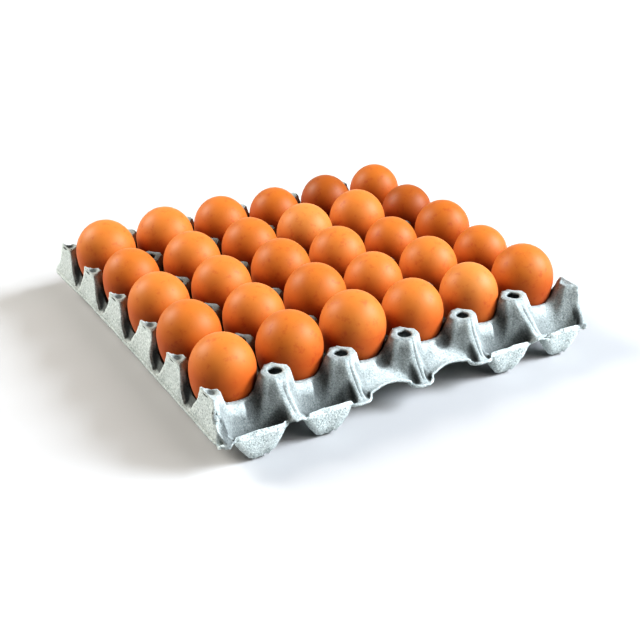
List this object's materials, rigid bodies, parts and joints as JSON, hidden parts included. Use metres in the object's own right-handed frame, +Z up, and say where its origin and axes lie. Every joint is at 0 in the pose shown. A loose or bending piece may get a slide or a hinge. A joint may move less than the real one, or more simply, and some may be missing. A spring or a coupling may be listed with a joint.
{
  "type": "tray of eggs",
  "caption": "Square moulded pulp tray with posts, round cups and a low rim, every cup filled with a brown hen's egg standing blunt end up.",
  "frame": {"origin": "centre of the footprint on the plane the cups stand on", "axes": "+Z up; the six columns of eggs follow one another along X and the five rows along Y; the aprons with the half cups are at -Y and +Y, the flat panelled walls at -X and +X"},
  "size_m": [0.297, 0.2932, 0.0724],
  "materials": {
    "pulp": "matt moulded paper pulp, pale grey with a green and blue tint, fibrous",
    "eggshell": "satin brown eggshell with fine pores and faint speckles"
  },
  "bodies": {
    "root": {"tray": "pulp", "egg_r1c1": "eggshell", "egg_r1c2": "eggshell", "egg_r1c3": "eggshell", "egg_r1c4": "eggshell", "egg_r1c5": "eggshell", "egg_r1c6": "eggshell", "egg_r2c1": "eggshell", "egg_r2c2": "eggshell", "egg_r2c3": "eggshell", "egg_r2c4": "eggshell", "egg_r2c5": "eggshell", "egg_r2c6": "eggshell", "egg_r3c1": "eggshell", "egg_r3c2": "eggshell", "egg_r3c3": "eggshell", "egg_r3c4": "eggshell", "egg_r3c5": "eggshell", "egg_r3c6": "eggshell", "egg_r4c1": "eggshell", "egg_r4c2": "eggshell", "egg_r4c3": "eggshell", "egg_r4c4": "eggshell", "egg_r4c5": "eggshell", "egg_r4c6": "eggshell", "egg_r5c1": "eggshell", "egg_r5c2": "eggshell", "egg_r5c3": "eggshell", "egg_r5c4": "eggshell", "egg_r5c5": "eggshell", "egg_r5c6": "eggshell"}
  },
  "joints": []
}
